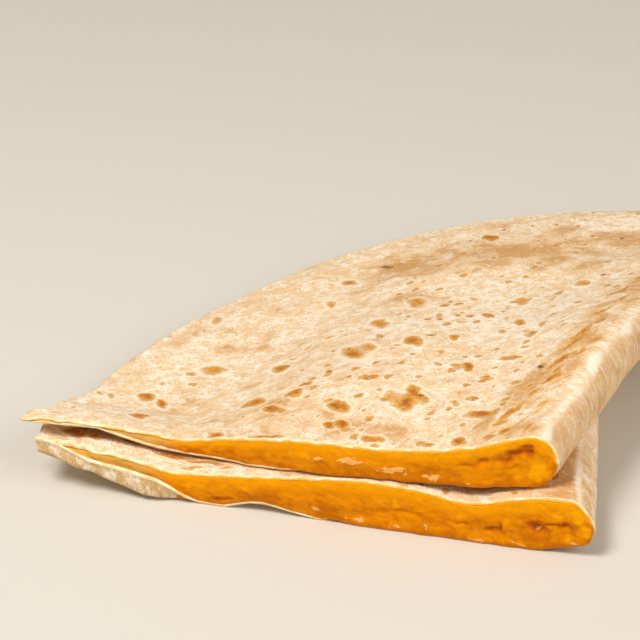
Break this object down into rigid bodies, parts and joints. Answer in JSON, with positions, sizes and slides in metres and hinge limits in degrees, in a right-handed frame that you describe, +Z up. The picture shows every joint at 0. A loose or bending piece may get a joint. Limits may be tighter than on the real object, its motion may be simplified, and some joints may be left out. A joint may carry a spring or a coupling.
{
  "type": "cheese quesadilla",
  "caption": "Folded flour tortilla filled with melted cheese, cut across and stacked half on half, the cheese showing along both cut edges.",
  "frame": {"origin": "on the floor, under the middle of the stack's bounding box", "axes": "+Z up, -Y towards the cut edges, +X towards the folded edges"},
  "size_m": [0.1528, 0.1604, 0.0282],
  "materials": {
    "tortilla": "floury, with browned blister spots",
    "cheese": "melted, glossy"
  },
  "bodies": {
    "root": {"tortilla_lower": "tortilla", "cheese_lower": "cheese", "tortilla_upper": "tortilla", "cheese_upper": "cheese"}
  },
  "joints": []
}
